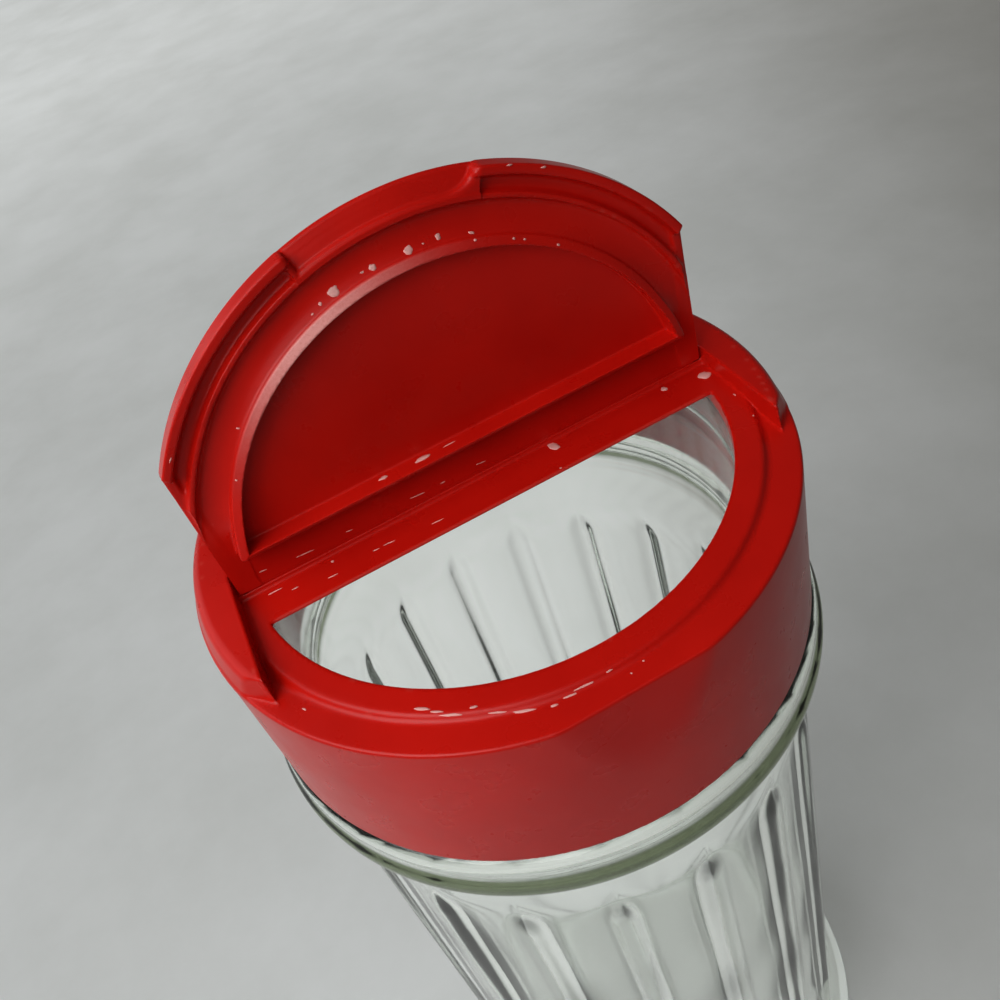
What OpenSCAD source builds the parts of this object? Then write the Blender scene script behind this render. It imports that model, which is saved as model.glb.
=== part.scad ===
// Glass sugar shaker with a red flip-top closure.
// The jar stands on Z = 0 with its axis on Z. The pour opening faces -Y and the flap opens towards +Y.

/* [Jar] */
// Height of the jar from the table to its lip
jar_h = 153; // [120:1:190]
// Width by which the foot stands out from the ridges above it
foot_proud = 3.3; // [2:0.1:7]
// Height of the concave flare above the foot's edge
flare_h = 22; // [12:1:30]
// Height of the foot's upright edge between heel and flare
foot_edge_h = 0.6; // [0.4:0.1:3]
// Radius of the rounded heel under the foot
heel_r = 2.4; // [1.5:0.1:4]
// Depth by which the ridges' tops are set in from the closure's side
body_inset = 0.8; // [0.2:0.1:1.6]
// Width by which the body grows from the flutes' tops to the foot
body_growth = 1.2; // [0.4:0.1:2.4]
// Number of flat panels round the body
flute_count = 18; // [12:1:24]
// Angle of the first ridge from +X
flute_phase = -4.5; // [-10:0.5:10]
// Depth of a panel's middle below the ridge crests
panel_depth = 0.95; // [0.7:0.05:1.4]
// Radius of a ridge's round section
ridge_r = 2.0; // [1.5:0.1:2.6]
// Height of the smooth band between the bead and the panels
band_h = 12; // [8:1:16]
// Height by which the ridges reach above the panels
ridge_rise = 3; // [1:0.5:5]
// Thickness of the glass at the panels
glass_t = 2.9; // [2:0.1:4]
// Thickness of the glass floor
floor_t = 7; // [4:0.5:12]
// Radius of the inside corner between floor and wall
floor_corner_r = 9; // [4:0.5:14]
// Height of the hollow under the base
push_up = 1.6; // [0.5:0.1:3]
// Width of the flat ring that the jar stands on
stand_ring = 4; // [2:0.5:6]

/* [Neck] */
// Room for the thread between the neck and the closure's skirt
thread_gap = 1.9; // [1.2:0.1:2.6]
// Thickness of the glass at the neck
neck_t = 2.7; // [2:0.1:3.6]
// Height of the neck from the bead to the lip
neck_h = 19.7; // [17:0.1:24]
// Width by which the bead stands out from the closure's side
bead_proud = 1.3; // [0.6:0.1:2.4]
// Height of the bead
bead_h = 5.4; // [4:0.1:8]
// Rounding of the bead's upper and lower edges
bead_edge_r = 2.2; // [1:0.1:2.6]
// Depth by which the band is set in from the bead
bead_step = 1.3; // [0.6:0.1:2]
// Rounding of the lip
lip_edge_r = 1.1; // [0.5:0.1:1.3]

/* [Closure] */
// Outer radius of the closure at its front deck
cap_r = 33; // [28:0.1:40]
// Outward draft of the skirt from top to bottom
skirt_draft = 0.2; // [0:0.05:0.5]
// Height of the skirt under the front deck
skirt_h = 19.8; // [15:0.1:20]
// Thickness of the skirt at its open end
skirt_t = 1.7; // [1.2:0.1:2.2]
// Thickness of the deck plate
plate_t = 1.4; // [1:0.1:2.4]
// Gap between the glass lip and the deck plate
lip_gap = 0.2; // [0.1:0.05:0.4]
// Rounding of the front deck's outer edge
deck_edge_r = 0.5; // [0.2:0.1:0.9]
// Height of the rear deck above the front deck
rear_h = 2.6; // [2.2:0.1:3.6]
// Inward draft of the rear deck's wall
rear_draft = 0.7; // [0.3:0.1:1]
// Rounding of the rear deck's outer edge
rear_edge_r = 1.0; // [0.4:0.1:1.4]
// Y of the wings' front ends
wing_end_y = -14.2; // [-15:0.1:-10]
// Lean of the wings' front ends
wing_end_lean = 20; // [5:1:35]
// Width of the land between its outer edge and the pour opening's arc
land_w = 2.8; // [2.2:0.1:5]
// Y of the pour opening's straight side
pour_chord_y = -4.0; // [-6:0.1:-3]
// Depth by which the land is set in from the closure's side
land_inset = 3.7; // [3.5:0.1:5]
// Height of the land above the front deck
land_h = 0.6; // [0.3:0.1:0.7]
// Run of the land's sloped edge
land_slope = 0.4; // [0.2:0.1:0.6]
// Depth of the thumb scoop at the deck
scoop_depth = 0.85; // [0.4:0.05:1.2]
// Height of the thumb scoop down the skirt
scoop_h = 8.2; // [5:0.2:12]

/* [Flap] */
// Angle of the flap from shut, as it stands open
open_angle = 92; // [0:1:115]
// Depth by which the shut flap's rim is set in from the closure's side
flap_inset = 0.55; // [0.4:0.05:0.8]
// Depth by which the flap's straight sides are set in from the closure's side
flap_side_inset = 5.2; // [4.8:0.1:6.5]
// Gap between the flap and the closure beside and below it
flap_gap = 0.3; // [0.2:0.05:0.4]
// Gap between the shut flap's rim and the front deck
rim_gap = 0.15; // [0.1:0.05:0.3]
// Thickness of the flap's plate
flap_t = 1.2; // [0.9:0.1:1.4]
// Thickness of the rim wall
rim_t = 0.9; // [0.6:0.1:1.1]
// Thickness of the thin ridge that closes round the land
ridge_t = 0.6; // [0.4:0.1:0.8]
// Gap between the thin ridge and the deck
ridge_gap = 0.3; // [0.2:0.1:0.5]
// Gap between the plug rib and the pour opening's arc
plug_gap = 0.4; // [0.3:0.05:0.8]
// Gap between the plug rib and the pour opening's straight side
plug_chord_gap = 1.0; // [0.5:0.1:1.6]
// Thickness of the plug rib
plug_t = 1.0; // [0.7:0.1:1.4]
// Depth by which the plug rib reaches below the front deck
plug_reach = 0.9; // [0.4:0.1:1.3]
// Rounding of the flap's top edge
flap_edge_r = 0.7; // [0.3:0.1:1]
// Length of the tapered rims beside the hinge
side_rim_len = 7.6; // [4:0.2:9]
// Angle that the fingernail lift covers
lift_angle = 33; // [20:1:44]
// Thickness of the flap's edge at the fingernail lift
lift_edge_t = 0.75; // [0.5:0.05:1]
// Angle that the rim's return covers at each end of the fingernail lift
lift_return = 1.6; // [1:0.1:3]

/* [Hinge] */
// Radius of the living hinge's round edge
hinge_r = 0.45; // [0.35:0.05:0.5]
// Running gap round the hinge
hinge_gap = 0.05; // [0.03:0.01:0.1]
// Depth by which the living hinge's ends are set in from the flap's sides
hinge_inset = 0.6; // [0.2:0.1:3]
// Width of the groove behind the hinge line
hinge_groove = 2.25; // [2.25:0.05:3.5]

/* [Hidden] */
$fn = 96;
// overlap that keeps cuts and joins clean
eps = 0.2;
far = 100;
glass = [0.80, 0.86, 0.82, 0.45];
red = [0.72, 0.07, 0.06];

// radii that follow from the closure's size
neck_r = cap_r + skirt_draft - skirt_t - thread_gap;
mouth_r = neck_r - neck_t;
bead_r = cap_r + bead_proud;
ridge_top_r = cap_r - body_inset;
ridge_low_r = ridge_top_r + body_growth;
foot_r = ridge_low_r + foot_proud;
land_r = cap_r - land_inset;
pour_r = land_r - land_w;
flap_r = cap_r - flap_inset;
flap_half_w = cap_r - flap_side_inset;
hinge_half_len = flap_half_w - hinge_inset;

// jar levels
bead_z = jar_h - neck_h;
band_z = bead_z - bead_h;
panel_z = band_z - band_h;
foot_top_z = heel_r + foot_edge_h;
flare_z = foot_top_z + flare_h;
panel_top_r = ridge_top_r - panel_depth;
panel_low_r = ridge_low_r - panel_depth;
taper = atan((ridge_low_r - ridge_top_r) / (panel_z - flare_z));
half_step = 180 / flute_count;
// solid core that stays inside the panels
core_in = 0.4;
// depths by which the two concave curves run on inside the panels, so that they cross them cleanly
band_sink = 0.15;
flare_sink = 0.3;
// the band's concave side passes from the bead to the panels
band_top_r = bead_r - bead_step;
band_run = band_top_r - panel_top_r + band_sink;
band_low_h = band_h / (sqrt(band_run / band_sink) - 1);
band_low_z = panel_z - band_low_h;
band_curve_h = band_h + band_low_h;
band_curve_r = (band_run * band_run + band_curve_h * band_curve_h) / (2 * band_run);
// the flare's concave side passes from the panels to the foot
flare_run = foot_r - panel_low_r + flare_sink;
flare_curve_r = (flare_run * flare_run + flare_h * flare_h) / (2 * flare_run);
stand_in_r = foot_r - heel_r - stand_ring;
push_up_r = (stand_in_r * stand_in_r + push_up * push_up) / (2 * push_up);
inner_top_r = panel_top_r - glass_t;
inner_low_r = panel_low_r - glass_t;

// closure levels
plate_z = jar_h + lip_gap;
deck_z = plate_z + plate_t;
pocket_half_w = flap_half_w + flap_gap;
scoop_lean = atan(scoop_depth / scoop_h);
land_foot_r = land_r + land_slope;

// flap levels, counted from the front deck with the flap shut
flap_under = rear_h - flap_t;
hinge_z = flap_under;
thin_ridge_r = land_foot_r + ridge_gap / 2;
thin_ridge_out = thin_ridge_r + ridge_t;
plug_r = pour_r - plug_gap;
plug_chord_y = pour_chord_y - plug_chord_gap;
rim_in_r = flap_r - rim_t;
side_rim_y = -sqrt(flap_r * flap_r - flap_half_w * flap_half_w);

// Round profile of the jar outside, without its panels and ridges
module jar_outside() {
    // neck and lip
    square([neck_r, jar_h - lip_edge_r]);
    square([neck_r - lip_edge_r, jar_h]);
    translate([neck_r - lip_edge_r, jar_h - lip_edge_r]) circle(lip_edge_r);
    // bead
    translate([0, band_z]) square([bead_r - bead_edge_r, bead_h]);
    translate([0, band_z + bead_edge_r]) square([bead_r, bead_h - 2 * bead_edge_r]);
    for (z = [band_z + bead_edge_r, bead_z - bead_edge_r])
        translate([bead_r - bead_edge_r, z]) circle(bead_edge_r);
    // smooth band under the bead
    difference() {
        translate([0, band_low_z]) square([band_top_r, band_curve_h + eps]);
        translate([panel_top_r - band_sink + band_curve_r, band_low_z]) circle(band_curve_r, $fn = 360);
    }
    // core inside the panels
    polygon([[0, foot_top_z], [panel_low_r - core_in, foot_top_z],
             [panel_top_r - core_in, panel_z], [0, panel_z]]);
    // flare down to the foot
    difference() {
        translate([0, foot_top_z]) square([foot_r, flare_h]);
        translate([panel_low_r - flare_sink + flare_curve_r, flare_z]) circle(flare_curve_r, $fn = 360);
    }
    // foot with its rounded heel
    square([foot_r - heel_r, foot_top_z]);
    translate([0, heel_r]) square([foot_r, foot_edge_h]);
    translate([foot_r - heel_r, heel_r]) circle(heel_r);
}

// Round profile of the hollow inside the jar
module jar_inside() {
    // mouth, with the lip's inner edge eased
    translate([0, panel_z]) square([mouth_r, jar_h - panel_z + eps]);
    // shoulder inside the band
    polygon([[0, panel_z], [inner_top_r, panel_z], [mouth_r, band_z], [0, band_z]]);
    // body
    polygon([[0, floor_t + floor_corner_r], [inner_low_r, floor_t + floor_corner_r],
             [inner_top_r, panel_z], [0, panel_z]]);
    // rounded floor
    translate([0, floor_t]) square([inner_low_r - floor_corner_r, floor_corner_r]);
    translate([inner_low_r - floor_corner_r, floor_t + floor_corner_r]) circle(floor_corner_r);
}

// Body with one flat panel between each two ridges
module panelled_body() {
    top_z = band_z - eps;
    corner_low_r = panel_low_r / cos(half_step) + eps;
    difference() {
        translate([0, 0, foot_top_z]) cylinder(h = top_z - foot_top_z, r = corner_low_r);
        for (i = [0 : flute_count - 1])
            rotate([0, 0, flute_phase + half_step + i * 2 * half_step])
                translate([panel_top_r, 0, panel_z]) rotate([0, -taper, 0])
                    translate([0, -far / 2, -jar_h]) cube([far, far, 2 * jar_h]);
    }
}

// One round ridge, ending in a round top
module ridge() {
    low_z = foot_top_z;
    top_z = panel_z + ridge_rise - ridge_r;
    translate([ridge_top_r - ridge_r, 0, panel_z]) rotate([0, -taper, 0]) rotate([0, 0, 180]) {
        translate([0, 0, low_z - panel_z]) cylinder(h = top_z - low_z, r = ridge_r, $fn = 48);
        translate([0, 0, top_z - panel_z]) sphere(ridge_r, $fn = 48);
    }
}

// Pressed glass jar: fluted sides, flared foot, bead and neck
module glass_jar() {
    color(glass) difference() {
        union() {
            rotate_extrude() jar_outside();
            panelled_body();
            for (i = [0 : flute_count - 1])
                rotate([0, 0, flute_phase + i * 2 * half_step]) ridge();
        }
        rotate_extrude() jar_inside();
        rotate_extrude() intersection() {
            translate([0, push_up - push_up_r]) circle(push_up_r, $fn = 360);
            square([stand_in_r + eps, push_up + eps]);
        }
    }
}

// Round profile of the skirt and the front deck plate
module skirt_profile() {
    wall_r = cap_r + skirt_draft - skirt_t;
    translate([0, -plate_t]) square([cap_r - deck_edge_r, plate_t]);
    translate([cap_r - deck_edge_r, -deck_edge_r]) circle(deck_edge_r);
    polygon([[wall_r, -skirt_h], [cap_r + skirt_draft, -skirt_h], [cap_r, -deck_edge_r], [wall_r, -deck_edge_r]]);
}

// Round profile of the raised rear deck
module rear_profile() {
    top_r = cap_r - rear_draft;
    wall_top = rear_h - rear_edge_r;
    polygon([[0, -deck_edge_r], [cap_r, -deck_edge_r], [top_r, wall_top], [0, wall_top]]);
    square([top_r - rear_edge_r, rear_h]);
    translate([top_r - rear_edge_r, wall_top]) circle(rear_edge_r);
}

// D-shaped outline of the pour opening
module pour_outline() {
    intersection() {
        circle(pour_r, $fn = 180);
        translate([-far, pour_chord_y - 2 * far]) square([2 * far, 2 * far]);
    }
}

// Pocket that the shut flap lies in, with the hinge groove behind it
module flap_pocket(from_z) {
    translate([-pocket_half_w, -far, from_z]) cube([2 * pocket_half_w, far + hinge_groove, far]);
}

// Screw closure: skirt, front deck with its land, raised rear deck with its wings, thumb scoop
module closure_body() {
    color(red) translate([0, 0, deck_z]) difference() {
        union() {
            rotate_extrude() skirt_profile();
            difference() {
                rotate_extrude() rear_profile();
                flap_pocket(-far / 2);
                translate([-far, wing_end_y, 0]) rotate([-wing_end_lean, 0, 0])
                    translate([0, -far, -far / 2]) cube([2 * far, far, far]);
            }
            intersection() {
                rotate_extrude() polygon([[0, -eps], [land_foot_r, -eps], [land_foot_r, 0], [land_r, land_h], [0, land_h]]);
                flap_pocket(-eps);
            }
        }
        translate([0, 0, -plate_t - eps]) linear_extrude(plate_t + land_h + 2 * eps) pour_outline();
        translate([0, scoop_depth - cap_r, 0]) rotate([-scoop_lean, 0, 0])
            translate([-far / 2, -far, -far / 2]) cube([far, far, far]);
    }
}

// Thin strip on the hinge line that the flap bends on
module living_hinge() {
    color(red) translate([-hinge_half_len, 0, deck_z]) {
        translate([0, -hinge_r, land_h]) cube([2 * hinge_half_len, 2 * hinge_r, hinge_z - land_h]);
        translate([0, 0, hinge_z]) rotate([0, 90, 0]) cylinder(h = 2 * hinge_half_len, r = hinge_r, $fn = 48);
    }
}

// Round profile of the flap: plate, rim wall and thin ridge
module flap_profile() {
    translate([0, flap_under]) square([flap_r - flap_edge_r, flap_t]);
    translate([rim_in_r, rim_gap]) square([rim_t, rear_h - flap_edge_r - rim_gap]);
    translate([flap_r - flap_edge_r, rear_h - flap_edge_r]) circle(flap_edge_r);
    translate([thin_ridge_r, ridge_gap]) square([ridge_t, flap_under - ridge_gap + eps]);
}

// D-shaped plug rib that closes the pour opening
module plug_rib() {
    bar_half = sqrt(plug_r * plug_r - plug_chord_y * plug_chord_y) - plug_t / 2;
    translate([0, 0, -plug_reach]) linear_extrude(plug_reach + flap_under + eps) {
        difference() {
            intersection() {
                circle(plug_r, $fn = 180);
                translate([-far, plug_chord_y - 2 * far]) square([2 * far, 2 * far]);
            }
            circle(plug_r - plug_t, $fn = 180);
        }
        translate([-bar_half, plug_chord_y - plug_t]) square([2 * bar_half, plug_t]);
    }
}

// Rim that tapers away along one straight side of the flap
module side_rim() {
    low_z = flap_under - (flap_under - rim_gap) * 2 / 3;
    translate([flap_half_w - rim_t, 0, 0]) rotate([90, 0, 90]) linear_extrude(rim_t)
        polygon([[side_rim_y, low_z], [side_rim_y + side_rim_len, flap_under],
                 [side_rim_y + side_rim_len, flap_under + eps], [side_rim_y, flap_under + eps]]);
}

// Sector about the front of the flap, for the fingernail lift
module front_sector(sweep) {
    rotate([0, 0, -90 - sweep / 2]) rotate_extrude(angle = sweep) children();
}

// Flap as it lies when shut
module shut_flap() {
    edge_z = rear_h - lift_edge_t;
    fill_r = thin_ridge_out - ridge_t / 2;
    fill_z = ridge_gap + eps / 2;
    bevel_r = thin_ridge_out - ridge_t / 3;
    bevel_z = ridge_gap + eps;
    lift_slope = (edge_z - bevel_z) / (flap_r - bevel_r);
    difference() {
        union() {
            intersection() {
                rotate_extrude() flap_profile();
                translate([-flap_half_w, -far, -far / 2]) cube([2 * flap_half_w, far - hinge_gap, far]);
            }
            front_sector(lift_angle + 2 * lift_return) translate([fill_r, fill_z])
                square([rim_in_r - fill_r + eps, flap_under - fill_z + eps]);
            plug_rib();
            side_rim();
            mirror([1, 0, 0]) side_rim();
        }
        front_sector(lift_angle) polygon([[bevel_r, -plug_reach], [flap_r + rim_t, -plug_reach],
                                          [flap_r + rim_t, edge_z + lift_slope * rim_t], [bevel_r, bevel_z]]);
        translate([-far, 0, hinge_z]) rotate([0, 90, 0]) cylinder(h = 2 * far, r = hinge_r + hinge_gap, $fn = 48);
    }
}

// Flap with its rim, thin ridge, plug rib and fingernail lift, standing open
module pour_flap() {
    color(red) translate([0, 0, deck_z + hinge_z]) rotate([-open_angle, 0, 0]) translate([0, 0, -hinge_z]) shut_flap();
}

glass_jar();
closure_body();
living_hinge();
pour_flap();
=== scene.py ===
"""Looks of a glass sugar shaker with a red flip-top closure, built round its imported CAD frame."""

import math

import bpy
import numpy as np
from mathutils import Matrix, Vector


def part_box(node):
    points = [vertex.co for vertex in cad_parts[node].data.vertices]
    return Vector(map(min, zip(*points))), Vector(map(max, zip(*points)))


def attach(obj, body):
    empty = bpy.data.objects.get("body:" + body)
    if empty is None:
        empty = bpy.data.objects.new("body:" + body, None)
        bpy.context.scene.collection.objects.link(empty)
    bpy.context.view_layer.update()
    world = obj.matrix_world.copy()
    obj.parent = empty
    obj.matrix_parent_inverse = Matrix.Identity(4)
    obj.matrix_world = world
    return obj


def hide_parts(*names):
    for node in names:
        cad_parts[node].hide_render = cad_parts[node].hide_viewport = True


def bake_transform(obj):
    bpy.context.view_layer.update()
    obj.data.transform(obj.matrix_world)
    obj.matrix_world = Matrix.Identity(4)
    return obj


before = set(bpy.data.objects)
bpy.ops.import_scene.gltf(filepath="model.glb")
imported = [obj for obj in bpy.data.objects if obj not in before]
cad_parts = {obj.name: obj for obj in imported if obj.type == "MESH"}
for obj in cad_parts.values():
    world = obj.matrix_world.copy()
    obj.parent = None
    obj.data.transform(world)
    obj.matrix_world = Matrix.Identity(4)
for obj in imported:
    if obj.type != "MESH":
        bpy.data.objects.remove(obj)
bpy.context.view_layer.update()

bl_info = {
    "name": "Sugar Shaker",
    "version": (1, 0, 0),
    "blender": (4, 5, 0),
    "location": "View3D > Sidebar > Shaker",
    "description": "Builds a fluted glass sugar shaker with a red flip-top closure",
    "category": "Object",
}

MM = 0.001
_, JAR_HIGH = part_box("glass_jar")
_, HINGE_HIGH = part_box("living_hinge")

# Rise of the screw thread in one turn, in millimetres, and the share of a turn that each of its ends takes
THREAD_PITCH = 4.23
THREAD_END = 0.06


def length(name, description, millimetres):
    """A size that the sidebar shows as a length."""
    return bpy.props.FloatProperty(
        name=name, description=description, default=millimetres * MM, unit="LENGTH", precision=5
    )


def turning(name, description, degrees):
    """A size that the sidebar shows as an angle."""
    return bpy.props.FloatProperty(
        name=name, description=description, default=math.radians(degrees), subtype="ANGLE"
    )


def colour(name, description, value):
    """A colour that the sidebar shows as a swatch."""
    return bpy.props.FloatVectorProperty(
        name=name, description=description, default=value, size=3, min=0.0, max=1.0, subtype="COLOR"
    )


class ShakerJarSettings(bpy.types.PropertyGroup):
    """Sizes of the glass jar."""

    flutes: bpy.props.IntProperty(name="Flutes", description="Flat panels round the body", default=18)
    phase: turning("Phase", "Angle of the first ridge from +X", -4.5)
    height: length("Height", "Table to lip", JAR_HIGH.z / MM)
    foot_r: length("Foot radius", "Foot at its widest", JAR_HIGH.x / MM - 0.03)
    heel_r: length("Heel rounding", "Rounding under the foot", 2.4)
    foot_top: length("Foot edge top", "Top of the foot's upright edge", 3.0)
    flare_h: length("Flare height", "Height of the concave flare", 22.0)
    ridge_top_r: length("Ridge radius at the top", "Crest radius where the panels end", 32.2)
    ridge_low_r: length("Ridge radius at the foot", "Crest radius above the flare", 33.4)
    ridge_r: length("Ridge rounding", "Radius of a ridge's crest", 2.1)
    ridge_end: length("Ridge taper", "Length over which a ridge runs out at its top", 6.0)
    ridge_rise: length("Ridge rise", "Height of a ridge's end above the panels", 3.0)
    panel_depth: length("Panel depth", "Panel middle below the crests", 0.88)
    band_h: length("Band height", "Smooth band between bead and panels", 12.0)
    bead_r: length("Bead radius", "Bead at its widest", 34.3)
    bead_h: length("Bead height", "Height of the bead", 5.4)
    neck_h: length("Neck height", "Bead to lip", 19.7)
    neck_r: length("Neck radius", "Outside of the neck", 29.6)
    mouth_r: length("Mouth radius", "Inside of the neck", 26.9)
    wall: length("Wall", "Glass at the panels", 2.9)
    floor: length("Floor", "Glass at the floor", 7.0)
    push_up: length("Push-up", "Hollow under the base", 1.6)


class ShakerClosureSettings(bpy.types.PropertyGroup):
    """Sizes of the closure's body and hinge."""

    deck_z: length("Front deck level", "Front deck above the table", 154.6)
    radius: length("Radius", "Closure at its front deck", 33.0)
    draft: length("Skirt draft", "Growth of the skirt towards its open end", 0.2)
    skirt_h: length("Skirt height", "Skirt under the front deck", 19.8)
    skirt_t: length("Skirt wall", "Skirt at its open end", 1.7)
    plate_t: length("Deck plate", "Thickness of the deck", 1.4)
    rear_h: length("Rear deck height", "Rear deck above the front deck", 2.6)
    wing_y: length("Wing end", "Y of the wings' front ends at the deck", -14.3)
    pocket_w: length("Pocket half width", "Half of the room between the wings", 28.1)
    groove_y: length("Hinge groove", "Y of the rear deck's front wall", 2.25)
    land_r: length("Land radius", "Middle of the land's sloped edge", 29.5)
    land_h: length("Land height", "Land above the front deck", 0.6)
    pour_r: length("Pour radius", "Arc of the pour opening", 26.5)
    chord_y: length("Pour chord", "Y of the pour opening's straight edge", -4.85)
    scoop: length("Scoop depth", "Thumb scoop at the deck", 0.85)
    scoop_h: length("Scoop height", "Thumb scoop down the skirt", 8.2)
    hinge_z: length("Hinge level", "Hinge line above the front deck", 1.4)


class ShakerFlapSettings(bpy.types.PropertyGroup):
    """Sizes of the flap."""

    open_angle: turning("Open angle", "Flap from shut, as it stands", 92)
    radius: length("Radius", "Outside of the rim", 32.45)
    half_w: length("Half width", "Half of the width between the straight sides", 27.8)
    plate: length("Plate", "Thickness of the plate", 1.2)
    rim_t: length("Rim wall", "Thickness of the rim", 0.95)
    rim_z: length("Rim level", "Rim's end above the front deck", 0.15)
    ridge_r: length("Thin ridge radius", "Middle of the thin ridge", 29.6)
    ridge_t: length("Thin ridge", "Thickness of the thin ridge", 0.5)
    ridge_z: length("Thin ridge level", "Thin ridge's end above the front deck", 0.62)
    plug_r: length("Plug radius", "Outside of the plug rib's arc", 26.1)
    plug_y: length("Plug chord", "Outside of the plug rib's straight side", -5.05)
    plug_t: length("Plug rib", "Thickness of the plug rib's arc", 0.9)
    chord_t: length("Plug chord rib", "Thickness of the plug rib's straight side", 0.6)
    plug_z: length("Plug reach", "Plug rib's inner edge below the front deck", 0.1)
    chord_z: length("Plug chord reach", "How much further the plug rib's straight side reaches", 0.7)
    plug_lean: length("Plug lean", "Drop of the plug rib's end towards its outside", 0.36)
    side_len: length("Side rims", "Length of the tapered side rims", 7.6)
    lift_angle: turning("Lift angle", "Half of the angle that the fingernail lift covers", 16.5)
    lift_edge: length("Lift edge", "Underside of the edge at the fingernail lift", 1.85)


class ShakerFinishSettings(bpy.types.PropertyGroup):
    """Colours of the finishes."""

    red: colour("Plastic", "Moulded plastic", (0.58, 0.007, 0.003))
    red_dark: colour("Plastic, dull", "Duller patches of the plastic", (0.50, 0.005, 0.002))
    red_worn: colour("Plastic, worn", "Rubbed edges of the plastic", (0.62, 0.060, 0.045))
    # Painted highlight: pale pink laid on the plug rib's face where the light's glint falls
    red_rubbed: colour("Plastic, rubbed", "Rubbed face of the plug rib", (0.88, 0.36, 0.33))
    glass: colour("Glass", "Surface of the glass", (0.985, 0.995, 0.985))
    # Partly the green tint of the thick bead, partly painted shade: much darker than the glass, standing
    # in for the dark seen through the bead
    glass_bead: colour("Glass bead", "Tint of the thick bead", (0.05, 0.065, 0.028))
    glass_deep: colour("Glass depth", "Tint of thick glass", (0.66, 0.80, 0.60))
    # Pale flakes: partly residue, partly painted highlight standing in for glints on drops of water
    sugar: colour("Dried sugar", "Specks of dried sugar", (0.73, 0.35, 0.32))
    floor_light: colour("Table", "Table top", (0.76, 0.78, 0.77))
    # Painted shade: the table's darker side, away from the window light
    floor_dark: colour("Table, far side", "Table top away from the window", (0.40, 0.395, 0.37))


class ShakerStageSettings(bpy.types.PropertyGroup):
    """Camera."""

    azimuth: turning("Azimuth", "Camera's turn round the jar", -11.536)
    elevation: turning("Elevation", "Camera above the horizon", 42.54)
    roll: turning("Roll", "Camera's roll", -19.821)
    distance: length("Distance", "Camera from the point it looks at", 100.143)
    target_x: length("Target X", "Point that the camera looks at", 0.324)
    target_y: length("Target Y", "Point that the camera looks at", -3.9)
    lens: bpy.props.FloatProperty(name="Lens", description="Focal length", default=34.38, unit="CAMERA")


def sizes(group):
    """The group's lengths in millimetres, and its other values as they are."""
    found = {}
    for name, prop in group.bl_rna.properties.items():
        if prop.type in {"FLOAT", "INT"} and not getattr(prop, "is_array", False):
            value = getattr(group, name)
            found[name] = value / MM if prop.unit == "LENGTH" else value
    return type("Sizes", (), found)


def soft_min(a, b, k):
    """Union of two distances with a fillet of about k."""
    h = np.maximum(k - np.abs(a - b), 0.0)
    return np.minimum(a, b) - h * h / (4.0 * k)


def soft_max(a, b, k):
    """Intersection of two distances with a rounding of about k."""
    h = np.maximum(k - np.abs(a - b), 0.0)
    return np.maximum(a, b) + h * h / (4.0 * k)


def all_of(*distances):
    """Intersection of distances with sharp edges."""
    return np.maximum.reduce(np.broadcast_arrays(*distances))


def ease(low, high, value):
    """0 below low, 1 above high, and a smooth change between."""
    t = np.clip((value - low) / (high - low), 0.0, 1.0)
    return t * t * (3.0 - 2.0 * t)


def unit(vectors):
    """Vectors scaled to a length of 1."""
    return vectors / np.maximum(np.linalg.norm(vectors, axis=1), 1e-9)[:, None]


def gradient(field, points, reach=0.02):
    """Slope of a distance field at points, in millimetres."""
    slope = np.empty_like(points)
    for axis in range(3):
        step = np.zeros(3)
        step[axis] = reach
        ahead, behind = points + step, points - step
        slope[:, axis] = (field(*ahead.T) - field(*behind.T)) / (2.0 * reach)
    return slope


def settle(field, points, rounds, limit):
    """Points moved onto the surface where the field is zero, by up to about the limit in each round."""
    least_slope = 0.3
    for _ in range(rounds):
        slope = gradient(field, points)
        size = np.maximum((slope * slope).sum(1), least_slope)
        points = points - np.clip(field(*points.T) / size, -limit, limit)[:, None] * slope
    return points


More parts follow.
